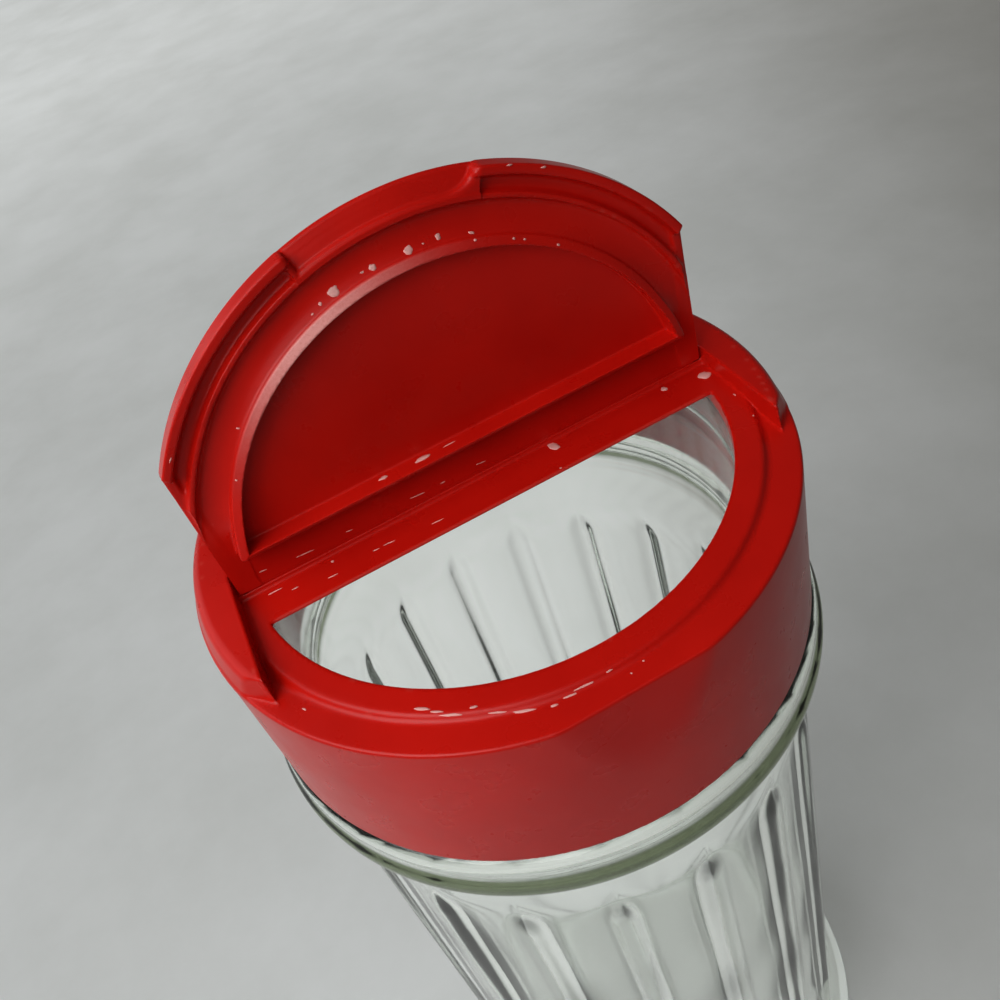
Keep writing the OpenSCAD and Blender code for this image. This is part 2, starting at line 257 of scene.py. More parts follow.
def net_surface(field, xs, ys, zs):
    """Points, quads and corner normals of the surface where the field is zero, on a grid of cells."""
    hold, cell_share, corner_share = 0.12, 0.7, 0.75
    values = np.empty((len(xs), len(ys), len(zs)))
    flat_y, flat_z = np.meshgrid(ys, zs, indexing="ij")
    for i, x in enumerate(xs):
        values[i] = field(np.full_like(flat_y, x), flat_y, flat_z)
    inside = values < 0.0
    shape = tuple(n - 1 for n in values.shape)
    count = np.zeros(shape, np.uint8)
    for i, j, k in np.ndindex(2, 2, 2):
        count += inside[i : i + shape[0], j : j + shape[1], k : k + shape[2]]
    cells = np.argwhere((count > 0) & (count < 8))
    number = np.full(shape, -1, np.int64)
    number[tuple(cells.T)] = np.arange(len(cells))

    # Where grid edges cross the surface, and the four cells round each crossing
    axes, spots, rings, quads = (xs, ys, zs), [], [], []
    for axis in range(3):
        u, v = (axis + 1) % 3, (axis + 2) % 3
        low = np.take(inside, range(inside.shape[axis] - 1), axis)
        high = np.take(inside, range(1, inside.shape[axis]), axis)
        near = np.argwhere(low != high)
        keep = np.all((near[:, [u, v]] > 0) & (near[:, [u, v]] < np.array(values.shape)[[u, v]] - 1), 1)
        near = near[keep]
        far = near.copy()
        far[:, axis] += 1
        start, end = values[tuple(near.T)], values[tuple(far.T)]
        spot = np.stack([axes[n][near[:, n]] for n in range(3)], 1)
        spot[:, axis] += start / (start - end) * (axes[axis][far[:, axis]] - axes[axis][near[:, axis]])
        ring = []
        for du, dv in ((-1, -1), (0, -1), (0, 0), (-1, 0)):
            cell = near.copy()
            cell[:, u] += du
            cell[:, v] += dv
            ring.append(number[tuple(cell.T)])
        ring = np.stack(ring, 1)
        spots.append(spot)
        rings.append(ring)
        quads.append(np.where(low[tuple(near.T)][:, None], ring, ring[:, ::-1]))
    spots, rings, quads = np.concatenate(spots), np.concatenate(rings), np.concatenate(quads)
    facing = unit(gradient(field, spots))

    def gather(weights):
        return np.bincount(rings.ravel(), weights=weights.ravel(), minlength=len(cells))

    # One point in each cell, drawn to where the planes at its crossings meet
    hits = gather(np.ones(rings.shape))
    middle = np.stack([gather(np.repeat(spots[:, n, None], 4, 1)) / hits for n in range(3)], 1)
    away = ((spots[:, None, :] - middle[rings]) * facing[:, None, :]).sum(2)
    pull = np.stack([gather(away * facing[:, n, None]) for n in range(3)], 1)
    planes = np.empty((len(cells), 3, 3))
    for m, n in np.ndindex(3, 3):
        planes[:, m, n] = gather(np.repeat((facing[:, m] * facing[:, n])[:, None], 4, 1))
    move = np.linalg.solve(planes + hold * np.eye(3), pull[:, :, None])[:, :, 0]
    room = np.array([np.diff(places).min() for places in axes]) * cell_share
    points = settle(field, middle + np.clip(move, -room, room), 4, 0.08)
    corners = points[quads]
    inner = corner_share * corners + (1.0 - corner_share) * corners.mean(1, keepdims=True)
    return points, quads, unit(gradient(field, inner.reshape(-1, 3)))


def add_piece(name, points, faces, material, normals=None):
    """A smooth mesh object from points in millimetres in the row frame."""
    mesh = bpy.data.meshes.new(name)
    mesh.from_pydata((np.asarray(points) * MM).tolist(), [], [list(map(int, f)) for f in faces])
    mesh.polygons.foreach_set("use_smooth", [True] * len(mesh.polygons))
    mesh.update()
    if normals is not None:
        mesh.normals_split_custom_set(np.asarray(normals, float).tolist())
    mesh.materials.append(material)
    piece = bpy.data.objects.new(name, mesh)
    bpy.context.scene.collection.objects.link(piece)
    return piece


def ring_faces(rings, around, closed_ends):
    """Quads between rings of points, with a fan at each end that is closed by one point."""
    faces = []
    turn = np.arange(around)
    nxt = (turn + 1) % around
    for i in range(rings - 1):
        a, b = i * around, (i + 1) * around
        faces += np.stack([a + turn, a + nxt, b + nxt, b + turn], 1).tolist()
    first, last = closed_ends
    faces += [[first, int(n), int(t)] for t, n in zip(turn, nxt)]
    base = (rings - 1) * around
    faces += [[last, base + int(t), base + int(n)] for t, n in zip(turn, nxt)]
    return faces


def new_material(name):
    """A new material with its node tree, its shader and the place in the object's frame."""
    material = bpy.data.materials.new(name)
    material.use_nodes = True
    tree = material.node_tree
    place = tree.nodes.new("ShaderNodeTexCoord")
    return material, tree, tree.nodes["Principled BSDF"], place.outputs["Object"]


def feed(tree, value, socket):
    """Links another node's value to a socket, or sets a plain value on it."""
    if isinstance(value, bpy.types.NodeSocket):
        tree.links.new(value, socket)
    else:
        socket.default_value = value


def dress(tree, node, looks):
    """Links or sets a node's sockets by their names."""
    for name, value in looks.items():
        feed(tree, value, node.inputs[name])


def noise(tree, where, scale, detail, roughness=0.5):
    """A noise texture at a scale counted per metre."""
    node = tree.nodes.new("ShaderNodeTexNoise")
    dress(tree, node, {"Vector": where, "Scale": scale, "Detail": detail, "Roughness": roughness})
    return node.outputs["Fac"]


def ramp(tree, fac, stops):
    """A colour ramp of (position, colour) stops."""
    node = tree.nodes.new("ShaderNodeValToRGB")
    elements = node.color_ramp.elements
    for i, (position, value) in enumerate(stops):
        element = elements[i] if i < 2 else elements.new(position)
        element.position = position
        element.color = (*value, 1.0)
    tree.links.new(fac, node.inputs["Fac"])
    return node.outputs["Color"]


def spread(tree, value, low, high, start=0.0, end=1.0, smooth=False):
    """A value moved from the range between start and end to the range between low and high."""
    node = tree.nodes.new("ShaderNodeMapRange")
    node.interpolation_type = "SMOOTHSTEP" if smooth else "LINEAR"
    dress(tree, node, {"Value": value, "From Min": start, "From Max": end, "To Min": low, "To Max": high})
    return node.outputs["Result"]


def math_outputs(tree, kind, operation, values):
    """Outputs of a math node of that kind, on its values in their order."""
    node = tree.nodes.new(kind)
    node.operation = operation
    for value, socket in zip(values, node.inputs):
        feed(tree, value, socket)
    return node.outputs


def combine(tree, operation, *values):
    """The result of a math node on its values."""
    return math_outputs(tree, "ShaderNodeMath", operation, values)["Value"]


def combine_vectors(tree, operation, output, *values):
    """One output of a vector math node on its values."""
    return math_outputs(tree, "ShaderNodeVectorMath", operation, values)[output]


def along_axis(tree, where, axis):
    """One coordinate of a place."""
    node = tree.nodes.new("ShaderNodeSeparateXYZ")
    tree.links.new(where, node.inputs["Vector"])
    return node.outputs[axis]


def bump(tree, height, strength, distance, below=None):
    """A bump from a height, on top of another one if there is one below."""
    node = tree.nodes.new("ShaderNodeBump")
    dress(tree, node, {"Height": height, "Strength": strength, "Distance": distance})
    if below is not None:
        tree.links.new(below, node.inputs["Normal"])
    return node.outputs["Normal"]


def blend_colour(tree, fac, a, b, mode="MIX"):
    """Colour a where fac is 0, and colour b, or a multiplied by it, where fac is 1."""
    node = tree.nodes.new("ShaderNodeMix")
    node.data_type, node.blend_type = "RGBA", mode
    feed(tree, fac, node.inputs["Factor"])
    for name, value in (("A", a), ("B", b)):
        socket = [i for i in node.inputs if i.name == name and i.type == "RGBA"][0]
        feed(tree, value if isinstance(value, bpy.types.NodeSocket) else (*value, 1.0), socket)
    return [o for o in node.outputs if o.type == "RGBA"][0]


def moulded_red():
    """Moulded red plastic: mottled colour, fine grain, soft gloss, worn edges and a painted highlight on
    the plug rib's face.
    """
    finish = bpy.context.scene.shaker_finish
    material, tree, shader, where = new_material("moulded_red")
    patches = noise(tree, where, 70.0, 3.0)
    base = ramp(tree, patches, [(0.35, finish.red_dark), (0.65, finish.red)])
    geometry = tree.nodes.new("ShaderNodeNewGeometry")
    wear = [(0.57, (0.0, 0.0, 0.0)), (0.68, (0.35, 0.35, 0.35))]
    edges = ramp(tree, geometry.outputs["Pointiness"], wear)
    worn = blend_colour(tree, edges, base, finish.red_worn)
    # Painted highlight: pale pink on the plug rib's face, broken into grains, standing in for the light's
    # glint there
    rubbed = tree.nodes.new("ShaderNodeAttribute")
    rubbed.attribute_name = "rubbed"
    speckle = spread(tree, noise(tree, where, 3800.0, 3.0, 0.7), 0.55, 1.45)
    amount = combine(tree, "MULTIPLY", rubbed.outputs["Fac"], speckle)
    waves = bump(tree, noise(tree, where, 160.0, 2.0), 0.07, 0.0006)
    dress(tree, shader, {
        "Base Color": blend_colour(tree, amount, worn, finish.red_rubbed),
        "Roughness": spread(tree, noise(tree, where, 240.0, 4.0), 0.22, 0.36),
        "Normal": bump(tree, noise(tree, where, 1500.0, 1.0), 0.04, 0.00003, waves),
        "IOR": 1.49,
        "Specular IOR Level": 0.22,
    })
    return material


def jar_glass():
    """Pressed clear glass with a faint ripple, a bead painted dark olive, partly its green tint and partly
    painted shade, and a slight haze inside.
    """
    finish = bpy.context.scene.shaker_finish
    material, tree, shader, where = new_material("jar_glass")
    # Levels round the bead, and radii between the inside and the outside of the glass, in metres
    bead_levels, outer_skin, inner_skin = (0.1250, 0.1350), (0.0300, 0.0310), (0.0290, 0.0294)
    level = spread(tree, along_axis(tree, where, "Z"), 0.0, 1.0, *bead_levels)
    clear, bead = finish.glass, finish.glass_bead
    # Painted shade on the green tint: the outer skin turns dark olive round the bead
    band = ramp(tree, level, [(0.38, clear), (0.46, bead), (0.64, bead), (0.70, clear)])
    flat = combine_vectors(tree, "MULTIPLY", "Vector", where, (1.0, 1.0, 0.0))
    radius = combine_vectors(tree, "LENGTH", "Value", flat)
    outside = spread(tree, radius, 0.0, 1.0, *outer_skin)
    smear = spread(tree, noise(tree, where, 90.0, 3.0), 0.005, 0.035)
    haze = spread(tree, radius, 0.10, 0.0, *inner_skin)
    dress(tree, shader, {
        "Base Color": blend_colour(tree, outside, clear, band),
        "Roughness": combine(tree, "ADD", smear, haze),
        "Normal": bump(tree, noise(tree, where, 42.0, 0.0), 0.05, 0.0010),
        "Transmission Weight": 1.0,
        "IOR": 1.51,
    })
    depth = tree.nodes.new("ShaderNodeVolumeAbsorption")
    dress(tree, depth, {"Color": (*finish.glass_deep, 1.0), "Density": 14.0})
    tree.links.new(depth.outputs["Volume"], tree.nodes["Material Output"].inputs["Volume"])
    return material


def dried_sugar():
    """Dull pale specks: partly residue, partly painted highlight standing in for glints on drops of water.
    """
    finish = bpy.context.scene.shaker_finish
    material, tree, shader, where = new_material("dried_sugar")
    tint = noise(tree, where, 2600.0, 3.0)
    brighter = 1.12
    pale = tuple(min(1.0, c * brighter) for c in finish.sugar)
    dress(tree, shader, {
        "Base Color": ramp(tree, tint, [(0.3, finish.sugar), (0.7, pale)]),
        "Roughness": spread(tree, tint, 0.35, 0.7),
        "Normal": bump(tree, tint, 0.3, 0.0001),
    })
    return material


def seen_rays(tree, others):
    """1 for rays from the camera and for the other kinds named, and 0 for light on the object."""
    rays = tree.nodes.new("ShaderNodeLightPath")
    total = rays.outputs["Is Camera Ray"]
    for name in others:
        total = combine(tree, "MAXIMUM", total, rays.outputs[name])
    return total


def table_top():
    """Pale, faintly mottled table top, with painted shade towards one side and an extra glow seen through
    glass.
    """
    finish = bpy.context.scene.shaker_finish
    material, tree, shader, where = new_material("table_top")
    # Places in metres between which painted shade darkens the table to one side, and a glow makes it paler
    # to the back
    shade_span, back_span = (-0.02, 0.30), (0.05, 0.90)
    near_glow, back_glow, glass_glow = 0.12, 0.54, 0.26
    lean = combine_vectors(tree, "DOT_PRODUCT", "Value", where, (1.0, -0.45, 0.0))
    # Painted shade: the table colour darkens towards one side
    side = spread(tree, lean, 0.0, 1.0, *shade_span, smooth=True)
    tone = blend_colour(tree, side, finish.floor_light, finish.floor_dark)
    patches = noise(tree, where, 14.0, 6.0, 0.62)
    stains = ramp(tree, patches, [(0.35, (0.90, 0.90, 0.89)), (0.65, (1.0, 1.0, 1.0))])
    mottled = blend_colour(tree, 1.0, tone, stains, "MULTIPLY")
    far = spread(tree, along_axis(tree, where, "Y"), near_glow, back_glow, *back_span)
    seen = combine(tree, "MULTIPLY", seen_rays(tree, ("Is Glossy Ray", "Is Transmission Ray")), far)
    # Painted light: an extra glow seen only through glass, standing in for the light that the glass lets
    # through onto the table
    rays = tree.nodes.new("ShaderNodeLightPath")
    glow = combine(tree, "MULTIPLY_ADD", rays.outputs["Is Transmission Ray"], glass_glow, seen)
    dress(tree, shader, {
        "Base Color": mottled,
        "Emission Color": mottled,
        "Emission Strength": glow,
        "Roughness": 0.75,
        "Specular IOR Level": 0.2,
    })
    return material


def finish_of(maker):
    """The material that a function makes, made once and named as the function is."""
    return bpy.data.materials.get(maker.__name__) or maker()


def jar_curves(s):
    """Levels and curve radii of the jar, in millimetres."""
    bead_inset = 1.3
    s.bead_z = s.height - s.neck_h
    s.band_z = s.bead_z - s.bead_h
    s.panel_z = s.band_z - s.band_h
    s.flare_z = s.foot_top + s.flare_h
    s.panel_top_r = s.ridge_top_r - s.panel_depth
    s.panel_low_r = s.ridge_low_r - s.panel_depth
    s.slope = (s.ridge_low_r - s.ridge_top_r) / (s.panel_z - s.flare_z)
    s.band_sink, s.flare_sink = 0.15, 0.3
    s.band_run = s.bead_r - bead_inset - s.panel_top_r + s.band_sink
    s.band_low = s.panel_z - s.band_h / (math.sqrt(s.band_run / s.band_sink) - 1.0)
    s.band_curve = (s.band_run**2 + (s.band_z - s.band_low) ** 2) / (2 * s.band_run)
    run = s.foot_r - s.panel_low_r + s.flare_sink
    s.flare_curve = (run**2 + s.flare_h**2) / (2 * run)
    return s


def fluted_radius(s, angle, z):
    """Outer radius of the body at one level, for each angle: panels, ridges, band and flare."""
    run_out, ridge_blend, band_blend = 1.3, 0.75, 0.3
    step = 2.0 * math.pi / s.flutes
    off_ridge = np.mod(angle - s.phase + step / 2, step) - step / 2
    off_panel = step / 2 - np.abs(off_ridge)
    drop = s.slope * (z - s.panel_z)
    panel = (s.panel_top_r - drop) / np.cos(off_panel)
    taper = max(z - s.panel_z - s.ridge_rise + s.ridge_end, 0.0) / s.ridge_end
    crest = s.ridge_top_r - drop
    side = crest * np.sin(off_ridge)
    ridge = crest * np.cos(off_ridge) - side**2 / (2.0 * s.ridge_r) - run_out * taper**2
    body = soft_max(panel, ridge, ridge_blend)
    round_r = np.full_like(angle, s.panel_top_r - 2.0)
    if z > s.band_low:
        round_r[:] = s.panel_top_r - s.band_sink + s.band_curve
        round_r -= math.sqrt(s.band_curve**2 - min(z - s.band_low, s.band_curve) ** 2)
    if z < s.flare_z:
        round_r[:] = s.panel_low_r - s.flare_sink + s.flare_curve
        round_r -= math.sqrt(s.flare_curve**2 - (s.flare_z - z) ** 2)
    return soft_max(body, round_r, band_blend)


def thread_share(along, turns):
    """1 along a screw thread of so many turns, falling to 0 at its two ends."""
    return ease(0.0, THREAD_END, along) * (1.0 - ease(turns - THREAD_END, turns, along))


def neck_thread(s, angle, z):
    """Height of the screw thread on the neck at one level, for each angle."""
    turns, start, rise = 1.35, s.height - 3.2, 0.72
    crest, root = 0.45, 1.25
    travel = np.mod(angle, 2 * math.pi) / (2 * math.pi)
    height = np.zeros_like(angle)
    for coil in range(3):
        along = travel + coil
        off = np.abs(z - (start - THREAD_PITCH * along))
        height = np.maximum(height, rise * thread_share(along, turns) * (1.0 - ease(crest, root, off)))
    return height


def arc(cx, cz, r, start, end, steps):
    """Points (radius, level) along an arc, with angles in degrees from outwards."""
    turn = np.radians(np.linspace(start, end, steps))
    return [(cx + r * math.cos(t), cz + r * math.sin(t)) for t in turn]


def jar_rings(s, around):
    """Rings of points from the middle of the base, up the outside, over the lip and down the inside."""
    crowding = 0.45
    step = 2 * math.pi / s.flutes
    u = np.arange(around) * (s.flutes / around)
    angle = s.phase + step * (u - crowding * np.sin(2 * math.pi * u) / (2 * math.pi))
    rings = []

    def plain(points):
        rings.extend([(np.full(around, r), np.full(around, z)) for r, z in points])

    # Hollow base, foot and heel
    middle_r, foot_w = 3.0, 4.0
    stand_r = s.foot_r - s.heel_r
    hollow_r = stand_r - foot_w
    for r in np.linspace(middle_r, hollow_r, 12):
        plain([(r, s.push_up * (1.0 - (r / hollow_r) ** 2))])
    plain([(hollow_r + 0.3, 0.0), (hollow_r + 2.0, 0.0)])
    plain(arc(stand_r, s.heel_r, s.heel_r, -90, 0, 10))

    # Flare, panels, their arched tops and the smooth band
    levels = np.concatenate([
        np.linspace(s.foot_top, s.flare_z, 32),
        np.linspace(s.flare_z + 1.2, s.panel_z - 8.0, 40),
        np.linspace(s.panel_z - 7.4, s.panel_z + 8.5, 56),
        np.linspace(s.panel_z + 8.9, s.band_z - 0.2, 8),
    ])
    for z in levels:
        rings.append((fluted_radius(s, angle, z), np.full(around, z)))

    # Bead with its upper step
    edge, shoulder = 1.6, 1.65
    plain(arc(s.bead_r - edge, s.band_z + edge + 0.2, edge, -52, 0, 8))
    plain(arc(s.bead_r - edge, s.band_z + edge + 0.5, edge, 0, 40, 8))
    plain(arc(s.bead_r - 2.3, s.bead_z - 0.60, shoulder, -24, 95, 14))

    # Neck with its thread, and the rounded lip
    outer_lip, inner_lip = 1.1, 0.8
    plain([(s.neck_r + 1.2, s.bead_z + 1.08), (s.neck_r + 0.4, s.bead_z + 1.1)])
    for z in np.linspace(s.bead_z + 1.2, s.height - 1.5, 60):
        rings.append((s.neck_r + neck_thread(s, angle, z), np.full(around, z)))
    plain(arc(s.neck_r - outer_lip, s.height - outer_lip, outer_lip, 0, 90, 7))
    plain(arc(s.mouth_r + inner_lip, s.height - inner_lip, inner_lip, 90, 180, 6))

    # Uneven inside wall and the floor with its rounded corner
    corner = 9.0
    inner_top, inner_low = s.panel_top_r - s.wall, s.panel_low_r - s.wall
    levels = np.concatenate([
        np.linspace(s.height - 1.6, s.band_z + 2.3, 8),
        np.linspace(s.band_z + 2.0, s.panel_z - 1.0, 72),
        np.linspace(s.panel_z - 2.0, s.floor + corner, 70),
    ])
    for z in levels:
        share = ease(s.panel_z - 1.0, s.band_z + 2.0, z)
        body = inner_top + (inner_low - inner_top) * (s.panel_z - z) / (s.panel_z - s.floor - corner)
        wave = 0.05 * np.sin(3 * angle + z / 7.0) + 0.035 * np.sin(7 * angle - z / 4.1 + 1.3)
        rings.append((share * s.mouth_r + (1 - share) * body + wave * (1 - share), np.full(around, z)))
    plain(arc(inner_low - corner, s.floor + corner, corner, -6, -90, 14))
    for r in np.linspace(inner_low - corner - 3.0, middle_r, 7):
        plain([(r, s.floor)])
    return angle, rings


class SHAKER_OT_glass_jar(bpy.types.Operator):
    """Builds the fluted glass jar"""

    bl_idname = "shaker.glass_jar"
    bl_label = "Glass Jar"

    def execute(self, context):
        s = jar_curves(sizes(context.scene.shaker_jar))
        around = 20 * s.flutes
        angle, rings = jar_rings(s, around)
        points = np.concatenate([np.stack([r * np.cos(angle), r * np.sin(angle), z], 1) for r, z in rings])
        points = np.concatenate([points, [[0, 0, s.push_up], [0, 0, s.floor]]])
        faces = ring_faces(len(rings), around, (len(points) - 2, len(points) - 1))
        jar = add_piece("glass_jar_visual", points, faces, finish_of(jar_glass))
        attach(jar, "jar")
        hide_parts("glass_jar")
        return {"FINISHED"}


def closure_field(s):
    """Distance field of the closure's body, with Z counted from its front deck."""
    wall_in = s.radius + s.draft - s.skirt_t
    scoop_slope = s.scoop / s.scoop_h
    rear_draft, pocket_draft = 0.333, 0.04
    wing_lean = math.radians(12)
    wing_along, wing_across = 0.677, 0.736
    land_out, land_up = 0.80, 0.60
    foot_y, foot_half, foot_fall = 0.36, 0.4, 0.75
    lip, undercut = 0.35, 1.1

    # Scales that keep the field's slope near 1 on slanted faces
    rear_even, foot_even, mouth_even = 1.054, 0.8, 0.75

    def thread(r, angle, z):
        turns, start, lag, reach = 1.3, -7.6, 0.8, 1.05
        travel = np.mod(angle + lag, 2 * math.pi) / (2 * math.pi)
        found = np.full_like(r, 9.0)
        for coil in range(2):
            along = travel + coil
            off = z - (start - THREAD_PITCH * along)
            ends = 1.4 * (1.0 - thread_share(along, turns))
            found = np.minimum(found, np.hypot(r - wall_in, off) - reach + ends)
        return found

    def field(x, y, z):
        r, side = np.hypot(x, y), np.abs(x)

        # Skirt and deck plate
        shell = soft_max(r - s.radius + s.draft * z / s.skirt_h, z, 0.4)
        shell = soft_max(shell, -s.skirt_h - z, 0.35)
        shell = soft_max(shell, -soft_max(r - wall_in, z + s.plate_t, 1.2), 0.3)
        shell = soft_min(shell, thread(r, np.arctan2(y, x), z), 0.4)

        # Raised rear deck with its pocket and wings
        rear = soft_max((r - s.radius + rear_draft * (z + 0.5)) / rear_even, z - s.rear_h, 0.8)
        pocket = soft_max(side - s.pocket_w - pocket_draft * z, y - s.groove_y - pocket_draft * z, 0.3)
        rear = soft_max(rear, -pocket, 0.2)
        front = wing_across * (side - s.pocket_w) + wing_along * (s.wing_y - y)
        rear = soft_max(rear, front * math.cos(wing_lean) + z * math.sin(wing_lean), 0.2)
        rear = np.maximum(rear, -0.5 - z)
        body = soft_min(shell, rear, 0.3)

        # Land round the opening
        land = soft_max(land_out * (r - s.land_r) + land_up * (z - s.land_h / 2), z - s.land_h, 0.25)
        land = np.maximum(land, -0.6 - z)
        body = soft_min(body, land, 0.3)

        # Foot of the hinge
        fall = z - s.hinge_z + 0.14 + foot_fall * np.maximum(y, 0.0)
        foot = soft_max(np.abs(y - foot_y) - foot_half, fall * foot_even, 0.2)
        foot = all_of(foot, -0.3 - z, side - s.pocket_w - 0.3)
        body = soft_min(body, foot, 0.5)

        # Pour opening and thumb scoop
        under_edge = (y - s.chord_y + undercut * np.minimum(z - s.land_h + lip, 0.0)) * mouth_even
        mouth = soft_max(r - s.pour_r, under_edge, 0.35)
        body = soft_max(body, -mouth, 0.3)
        return soft_max(body, -y - s.radius + s.scoop + scoop_slope * z, 0.25)

    return field


class SHAKER_OT_closure_body(bpy.types.Operator):
    """Builds the closure: skirt, decks, wings, land, pour opening and thumb scoop"""

    bl_idname = "shaker.closure_body"
    bl_label = "Closure Body"

    def execute(self, context):
        s = sizes(context.scene.shaker_closure)
        across, fine, coarse = 0.36, 0.22, 0.6
        span = np.arange(-s.radius - 0.75, s.radius + 0.8, across)
        levels = np.concatenate([
            np.arange(-s.skirt_h - 0.45, -s.skirt_h + 0.9, fine),
            np.arange(-s.skirt_h + 1.2, -3.0, coarse),
            np.arange(-2.9, s.rear_h + 0.5, fine),
        ])
        points, quads, normals = net_surface(closure_field(s), span, span, levels)
        points[:, 2] += s.deck_z
        closure = add_piece("closure_body_visual", points, quads, finish_of(moulded_red), normals)
        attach(closure, "closure")
        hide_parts("closure_body")
        return {"FINISHED"}


def flap_field(s, under):
    """Distance field of the shut flap, with Z and the plate's underside counted from the front deck."""
    top = under + s.plate
    root = under + 0.4
    back_y = -0.05
    corner_y = -math.sqrt(s.radius**2 - s.half_w**2)
    corner_across, corner_along = 0.77, 0.64
    rim_mid = s.radius - s.rim_t / 2
    rim_draft, ridge_draft, plug_draft, hollow_draft = 0.2, 0.10, 0.05, 0.03
    swell_w, swell_h = 2.9, 0.85
    rail_low, rail_half = 0.95, 0.5
    lift_r, lift_low = s.ridge_r + 0.75, 1.0

    # Scales that keep the field's slope near 1 on slanted faces
    rail_even, swell_even, plug_even = 0.99, 0.93, 0.91

    def field(x, y, z):
        r, side = np.hypot(x, y), np.abs(x)

        # Plate
        outline = soft_max(soft_max(r - s.radius, side - s.half_w, 0.25), y - back_y, 0.2)
        plate = soft_max(soft_max(outline, z - top, 0.9), under - z, 0.12)

        # Rim with its cut corners, and the tapered rims along the sides
        rim = soft_max(r - s.radius, s.rim_z - z, 0.25)
        rim = soft_max(rim, s.radius - s.rim_t - r - rim_draft * (z - s.rim_z), 0.3)
        rim = soft_max(np.maximum(rim, z - root), side - s.half_w, 0.1)
        cut = corner_across * (side - s.half_w) + corner_along * (y - corner_y + 0.25)
        rim = soft_max(rim, cut, 0.08)
        low = rail_low + (under - rail_low) * (y - corner_y) / s.side_len
        rail = soft_max(np.abs(side - s.half_w + rail_half) - rail_half, (low - z) * rail_even, 0.3)
        rail = all_of(rail, z - root, corner_y + 0.3 - y)

        # Thin ridge, and the swell between it and the plug rib
        ridge = np.abs(r - s.ridge_r) - s.ridge_t / 2 - ridge_draft * (z - s.ridge_z)
        ridge = soft_max(np.maximum(ridge, z - root), s.ridge_z - z, 0.16)
        ridge = all_of(ridge, side - s.half_w + 0.6, y + 4.0)
        rise = np.clip(1.0 - (r - s.plug_r - 0.2) / swell_w, 0.0, 1.1) ** 2 * (1.0 - ease(-10.0, -5.0, y))
        swell = soft_max(r - s.ridge_r, (under + 0.1 - swell_h * rise - z) * swell_even, 0.2)
        swell = all_of(swell, z - root, s.plug_r - 0.5 - r)

        # Plug rib round its hollow
        disc = soft_max(r - s.plug_r, y - s.plug_y, 0.3)
        hollow = soft_max(r - s.plug_r + s.plug_t, y - s.plug_y + s.chord_t, 0.12)
        reach = s.plug_z + s.chord_z * ease(-13.0, -6.5, y)
        end = s.plug_lean / s.plug_t * np.clip(hollow, 0.0, 1.6) - reach - z
        plug = soft_max(np.maximum(disc - plug_draft * (z + reach), z - root), plug_even * end, 0.15)
        plug = soft_max(plug, -hollow - hollow_draft * (z + reach), 0.12)

        body = soft_min(plate, soft_min(rim, rail, 0.3), 0.5)
        body = soft_min(body, swell, 0.5)
        body = soft_min(body, ridge, 0.7)
        body = soft_min(body, plug, np.where(hollow > 0.3, 0.25, 0.3))

        # Fingernail lift, filled between ridge and rim and hollowed under its edge
        along = np.arctan2(x, -y) * s.ridge_r
        half = s.lift_angle * s.ridge_r
        left, right, inner = -half - along, along - half, lift_r - r
        slope = (s.lift_edge - lift_low) / (s.radius - lift_r)
        bevel = (lift_low - slope * inner - z) / math.sqrt(1.0 + slope**2)
        fill = all_of(left - 0.6, right - 0.3, s.ridge_z - 0.05 - z, z - root, s.ridge_r - r, r - rim_mid)
        body = soft_min(body, fill, 0.4)
        body = all_of(body, r - s.radius, side - s.half_w, y - back_y)
        pocket = soft_max(soft_max(right, inner, 3.2), left, 0.3)
        return soft_max(body, -soft_max(pocket, -bevel, 0.2), 0.55)

    return field


def swung(vectors, s):
    """Vectors of the shut flap turned to where the flap stands."""
    c, n = math.cos(-s.open_angle), math.sin(-s.open_angle)
    x, y, z = vectors.T
    return np.stack([x, c * y - n * z, n * y + c * z], 1)


def opened(points, s, closure):
    """Points of the shut flap turned about the hinge line to where the flap stands, in the row frame."""
    hinge = np.array([0.0, 0.0, closure.hinge_z])
    return swung(points - hinge, s) + hinge + [0.0, 0.0, closure.deck_z]


def rubbed_share(points, s):
    """Share of painted highlight on the plug rib's face at each point of the shut flap, most at its front
    left, where the light's glint falls.
    """
    highlight_turn, highlight_spread = 24.0, 20.0
    r = np.hypot(points[:, 0], points[:, 1])
    turn = np.degrees(np.arctan2(points[:, 0], -points[:, 1]))
    inner_r = s.plug_r - s.plug_t
    share = ease(inner_r - 0.15, inner_r + 0.1, r) * (1.0 - ease(s.plug_r - 0.1, s.plug_r + 0.1, r))
    share *= (1.0 - ease(0.45, 0.7, points[:, 2])) * np.exp(-(((turn + highlight_turn) / highlight_spread) ** 2))
    share[points[:, 1] > s.plug_y - 1.0] = 0.0
    return share


class SHAKER_OT_pour_flap(bpy.types.Operator):
    """Builds the flap: plate, rim, thin ridge, plug rib and fingernail lift"""

    bl_idname = "shaker.pour_flap"
    bl_label = "Pour Flap"

    def execute(self, context):
        s = sizes(context.scene.shaker_flap)
        closure = sizes(context.scene.shaker_closure)
        step = 0.22
        xs = np.arange(-s.half_w - 0.5, s.half_w + 0.51, step)
        ys = np.arange(-s.radius - 0.5, 0.3, step)
        zs = np.arange(-s.plug_z - s.chord_z - 0.4, closure.hinge_z + s.plate + 0.5, step)
        points, quads, normals = net_surface(flap_field(s, closure.hinge_z), xs, ys, zs)
        flap = add_piece(
            "pour_flap_visual", opened(points, s, closure), quads,
            finish_of(moulded_red), swung(normals, s),
        )
        # Share of painted highlight on the plug rib's face, kept on each point of the flap
        rubbed = flap.data.attributes.new("rubbed", "FLOAT", "POINT")
        rubbed.data.foreach_set("value", rubbed_share(points, s))
        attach(flap, "flap")
        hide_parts("pour_flap")
        return {"FINISHED"}


